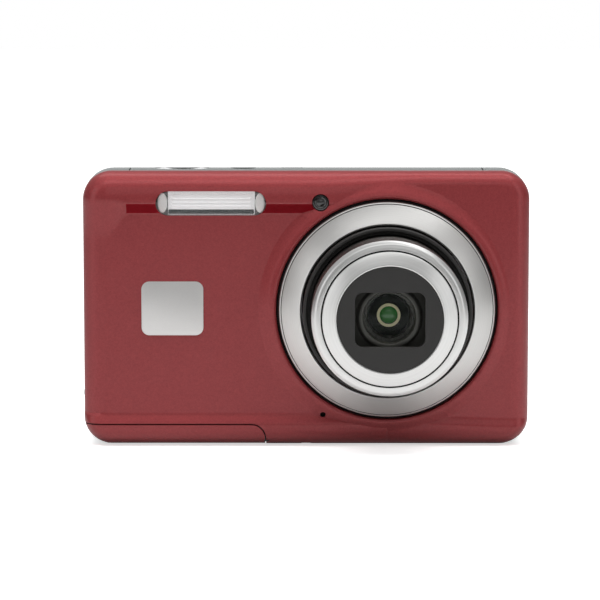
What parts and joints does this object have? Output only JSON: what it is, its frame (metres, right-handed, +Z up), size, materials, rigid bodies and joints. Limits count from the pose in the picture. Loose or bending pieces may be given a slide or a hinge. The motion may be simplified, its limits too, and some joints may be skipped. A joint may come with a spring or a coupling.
{
  "type": "compact digital camera",
  "caption": "Compact digital camera with a red sculpted front, a silver zoom lens extended in use, a flash and a grey back.",
  "frame": {"origin": "middle of the tripod socket's mouth, on the flat underside", "axes": "+Z up, +X to the right seen from the front, the lens points along -Y"},
  "size_m": [0.0919, 0.038, 0.0565],
  "materials": {
    "red_paint": "metallic paint with fine flakes",
    "grey_plastic": "satin painted",
    "silver_plastic": "satin silver",
    "lens_silver": "fine turned",
    "lens_black": "fine satin",
    "steel": "plain",
    "chrome": "polished",
    "glass": "clear",
    "coated_glass": "anti-reflection coated",
    "dark_window": "gloss black",
    "board": "solder mask",
    "black_plastic": "moulded",
    "brass": "plain",
    "nylon": "moulded",
    "battery_wrap": "printed-free wrap",
    "orange_plastic": "moulded",
    "dark_amber": "polished"
  },
  "bodies": {
    "body": {"front_cover": "red_paint", "rear_cover": "grey_plastic", "top_cover": "grey_plastic", "chassis": "steel", "door_hinge_pin": "steel", "battery_chamber": "black_plastic", "battery": "battery_wrap", "memory_card": "battery_wrap", "card_socket": "steel", "main_board": "board", "key_board": "board", "lcd_panel": "black_plastic", "lcd_window": "dark_window", "flash_window": "glass", "flash_reflector": "chrome", "flash_tube": "glass", "flash_capacitor": "battery_wrap", "af_lamp_lens": "dark_amber", "microphone": "steel", "speaker": "black_plastic", "top_switch_board": "board", "status_lamp": "glass", "badge_plate": "chrome", "lens_trim_ring": "lens_silver", "lens_base": "black_plastic", "image_sensor": "board", "zoom_motor": "steel", "focus_motor": "steel", "tripod_socket": "steel", "strap_lug": "steel", "usb_socket": "steel", "case_screws": "steel"},
    "hinge_plate": {"door_hinge_plate": "steel"},
    "door": {"battery_door": "red_paint"},
    "latch": {"battery_latch": "orange_plastic"},
    "shutter": {"shutter_button": "silver_plastic"},
    "power": {"power_button": "silver_plastic"},
    "zoom_lever": {"zoom_rocker": "silver_plastic"},
    "movie_key": {"movie_button": "grey_plastic"},
    "mode_key": {"mode_button": "grey_plastic"},
    "menu_key": {"menu_button": "grey_plastic"},
    "play_key": {"play_button": "grey_plastic"},
    "nav_frame": {"nav_web": "black_plastic"},
    "nav": {"nav_ring": "silver_plastic"},
    "ok_key": {"ok_button": "grey_plastic"},
    "cam": {"cam_ring": "steel"},
    "barrel_outer": {"outer_barrel": "lens_black"},
    "barrel_front": {"front_barrel": "lens_silver", "front_trim_ring": "lens_silver", "front_bezel": "lens_black", "front_lens_cell": "lens_black", "front_lens": "coated_glass", "shutter_unit": "brass", "middle_lens": "coated_glass"},
    "blade_upper": {"barrier_blade_upper": "lens_black"},
    "blade_lower": {"barrier_blade_lower": "lens_black"},
    "focus": {"focus_group": "lens_black"},
    "pinion": {"motor_pinion": "brass"},
    "idler": {"idler_gear": "nylon"},
    "port_door": {"port_cover": "grey_plastic"}
  },
  "joints": [
    {"name": "shutter_press", "type": "slide", "parent": "body", "child": "shutter", "axis": [0, 0, -1], "range_m": [0, 0.0008], "stiffness_N_per_m": 1500},
    {"name": "power_press", "type": "slide", "parent": "body", "child": "power", "axis": [0, 0, -1], "range_m": [0, 0.0005], "stiffness_N_per_m": 2000},
    {"name": "zoom_rock", "type": "hinge", "parent": "body", "child": "zoom_lever", "pos_m": [-0.031, 0.0089, 0.0472], "axis": [0, 0, 1], "range_deg": [-2.5, 2.5], "stiffness_Nm_per_rad": 0.6},
    {"name": "movie_press", "type": "slide", "parent": "body", "child": "movie_key", "axis": [0, -1, 0], "range_m": [0, 0.0003], "stiffness_N_per_m": 2000},
    {"name": "mode_press", "type": "slide", "parent": "body", "child": "mode_key", "axis": [0, -1, 0], "range_m": [0, 0.0003], "stiffness_N_per_m": 2000},
    {"name": "menu_press", "type": "slide", "parent": "body", "child": "menu_key", "axis": [0, -1, 0], "range_m": [0, 0.0003], "stiffness_N_per_m": 2000},
    {"name": "play_press", "type": "slide", "parent": "body", "child": "play_key", "axis": [0, -1, 0], "range_m": [0, 0.0003], "stiffness_N_per_m": 2000},
    {"name": "ok_press", "type": "slide", "parent": "body", "child": "ok_key", "axis": [0, -1, 0], "range_m": [0, 0.0003], "stiffness_N_per_m": 2000},
    {"name": "nav_tip_updown", "type": "hinge", "parent": "body", "child": "nav_frame", "pos_m": [-0.031, 0.00875, 0.0265], "axis": [1, 0, 0], "range_deg": [-2, 2], "stiffness_Nm_per_rad": 0.5},
    {"name": "nav_tip_sideways", "type": "hinge", "parent": "nav_frame", "child": "nav", "pos_m": [-0.031, 0.00875, 0.0265], "axis": [0, 0, 1], "range_deg": [-2, 2], "stiffness_Nm_per_rad": 0.5},
    {"name": "door_swing", "type": "hinge", "parent": "body", "child": "hinge_plate", "pos_m": [-0.0112, 0.002, 0.00175], "axis": [0, -1, 0], "range_deg": [0, 80]},
    {"name": "door_slide", "type": "slide", "parent": "hinge_plate", "child": "door", "axis": [-1, 0, 0], "range_m": [0, 0.0025]},
    {"name": "battery_release", "type": "slide", "parent": "body", "child": "latch", "axis": [0, 1, 0], "range_m": [0, 0.0016], "stiffness_N_per_m": 300},
    {"name": "cam_turn", "type": "hinge", "parent": "body", "child": "cam", "pos_m": [0.0164, 0, 0.02825], "axis": [0, -1, 0], "range_deg": [-10, 100]},
    {"name": "outer_barrel_retract", "type": "slide", "parent": "body", "child": "barrel_outer", "axis": [0, 1, 0], "range_m": [-0.00039, 0.0039]},
    {"name": "front_barrel_retract", "type": "slide", "parent": "body", "child": "barrel_front", "axis": [0, 1, 0], "range_m": [-0.0015, 0.015]},
    {"name": "idler_spin", "type": "hinge", "parent": "body", "child": "idler", "pos_m": [0.03252, 0, 0.04437], "axis": [0, -1, 0], "range_deg": [-470.1, 47.1]},
    {"name": "pinion_spin", "type": "hinge", "parent": "body", "child": "pinion", "pos_m": [0.03861, 0, 0.04635], "axis": [0, -1, 0], "range_deg": [-78.5, 783.5]},
    {"name": "upper_blade_close", "type": "slide", "parent": "barrel_front", "child": "blade_upper", "axis": [0, 0, -1], "range_m": [0, 0.0059]},
    {"name": "lower_blade_close", "type": "slide", "parent": "barrel_front", "child": "blade_lower", "axis": [0, 0, 1], "range_m": [0, 0.0059]},
    {"name": "focus_move", "type": "slide", "parent": "body", "child": "focus", "axis": [0, -1, 0], "range_m": [0, 0.0014]},
    {"name": "port_cover_swing", "type": "hinge", "parent": "body", "child": "port_door", "pos_m": [0.04495, 0.006, 0.028], "axis": [0, 0, 1], "range_deg": [0, 95]}
  ],
  "couplings": [
    {"joint": "outer_barrel_retract", "follows": "cam_turn", "m_per_rad": 0.0022345},
    {"joint": "front_barrel_retract", "follows": "cam_turn", "m_per_rad": 0.0085944},
    {"joint": "idler_spin", "follows": "cam_turn", "ratio": -4.7},
    {"joint": "pinion_spin", "follows": "cam_turn", "ratio": 7.8333},
    {"joint": "lower_blade_close", "follows": "upper_blade_close", "ratio": 1}
  ]
}
